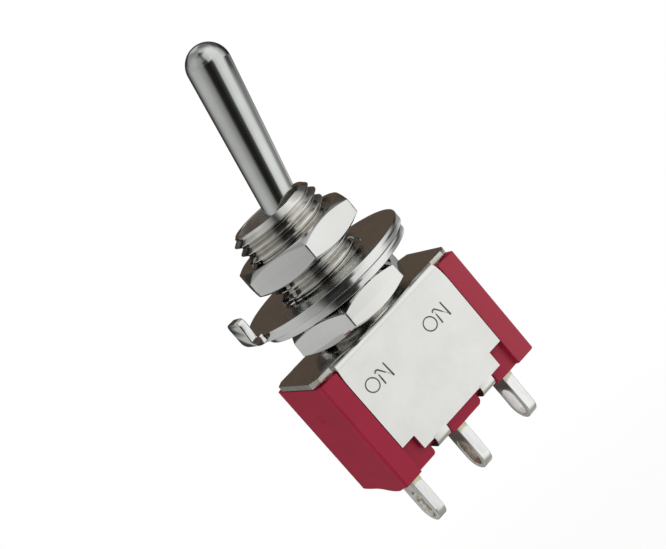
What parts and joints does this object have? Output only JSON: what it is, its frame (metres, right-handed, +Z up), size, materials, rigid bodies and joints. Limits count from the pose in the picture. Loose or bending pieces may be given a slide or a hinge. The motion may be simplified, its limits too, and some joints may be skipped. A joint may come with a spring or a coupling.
{
  "type": "mini toggle switch",
  "caption": "Miniature panel-mount toggle switch: bat lever in a threaded bushing with nuts, locking ring and lock washer, red body in a folded frame, solder lugs.",
  "frame": {"origin": "on the bushing's axis at the top face of the folded frame", "axes": "+Z up the bushing's axis towards the lever, +X along the row of lugs, -Y out of the marked leg of the frame"},
  "size_m": [0.0131, 0.0118, 0.0325],
  "materials": {
    "red_moulding": "semi-gloss moulded thermoset",
    "tinned_sheet": "satin tin-plated steel",
    "nickel_plate": "polished nickel plate",
    "nickel_hardware": "polished nickel plate",
    "silver_plate": "satin silver plate on brass",
    "epoxy": "cast epoxy",
    "nylon": "moulded nylon",
    "spring_steel": "drawn spring wire",
    "contact_silver": "silver alloy"
  },
  "bodies": {
    "switch_body": {"housing": "red_moulding", "frame": "tinned_sheet", "bushing": "nickel_plate", "terminal_left": "silver_plate", "terminal_common": "silver_plate", "terminal_right": "silver_plate", "seal_left": "epoxy", "seal_centre": "epoxy", "seal_right": "epoxy", "fixed_contact_left": "contact_silver", "fixed_contact_right": "contact_silver"},
    "lever": {"lever": "nickel_plate", "plunger_spring": "spring_steel"},
    "plunger": {"plunger": "nylon"},
    "rocker": {"rocker_contact": "contact_silver", "moving_contact_left": "contact_silver", "moving_contact_right": "contact_silver"},
    "upper_nut": {"upper_nut": "nickel_hardware"},
    "lower_nut": {"lower_nut": "nickel_hardware"},
    "locking_ring": {"locking_ring": "nickel_hardware"},
    "lock_washer": {"lock_washer": "nickel_hardware"}
  },
  "joints": [
    {"name": "lever_tilt", "type": "hinge", "parent": "switch_body", "child": "lever", "pos_m": [0, 0, 0.005], "axis": [0, 1, 0], "range_deg": [-28, 0]},
    {"name": "plunger_travel", "type": "slide", "parent": "lever", "child": "plunger", "axis": [0.2419, 0, 0.9703], "range_m": [0, 0.0004], "stiffness_N_per_m": 200, "springref_m": -0.0005, "deforming": ["plunger_spring"]},
    {"name": "rocker_tilt", "type": "hinge", "parent": "switch_body", "child": "rocker", "pos_m": [0, 0, -0.0046], "axis": [0, 1, 0], "range_deg": [0, 18]},
    {"name": "upper_nut_travel", "type": "slide", "parent": "switch_body", "child": "upper_nut", "axis": [0, 0, 1], "range_m": [0, 0.0018]},
    {"name": "lower_nut_travel", "type": "slide", "parent": "switch_body", "child": "lower_nut", "axis": [0, 0, 1], "range_m": [-0.0004, 0]},
    {"name": "locking_ring_travel", "type": "slide", "parent": "switch_body", "child": "locking_ring", "axis": [0, 0, 1], "range_m": [0, 0.0012]},
    {"name": "lock_washer_travel", "type": "slide", "parent": "switch_body", "child": "lock_washer", "axis": [0, 0, 1], "range_m": [-0.00028, 0]}
  ],
  "couplings": [
    {"joint": "rocker_tilt", "follows": "lever_tilt", "ratio": -0.64286}
  ]
}
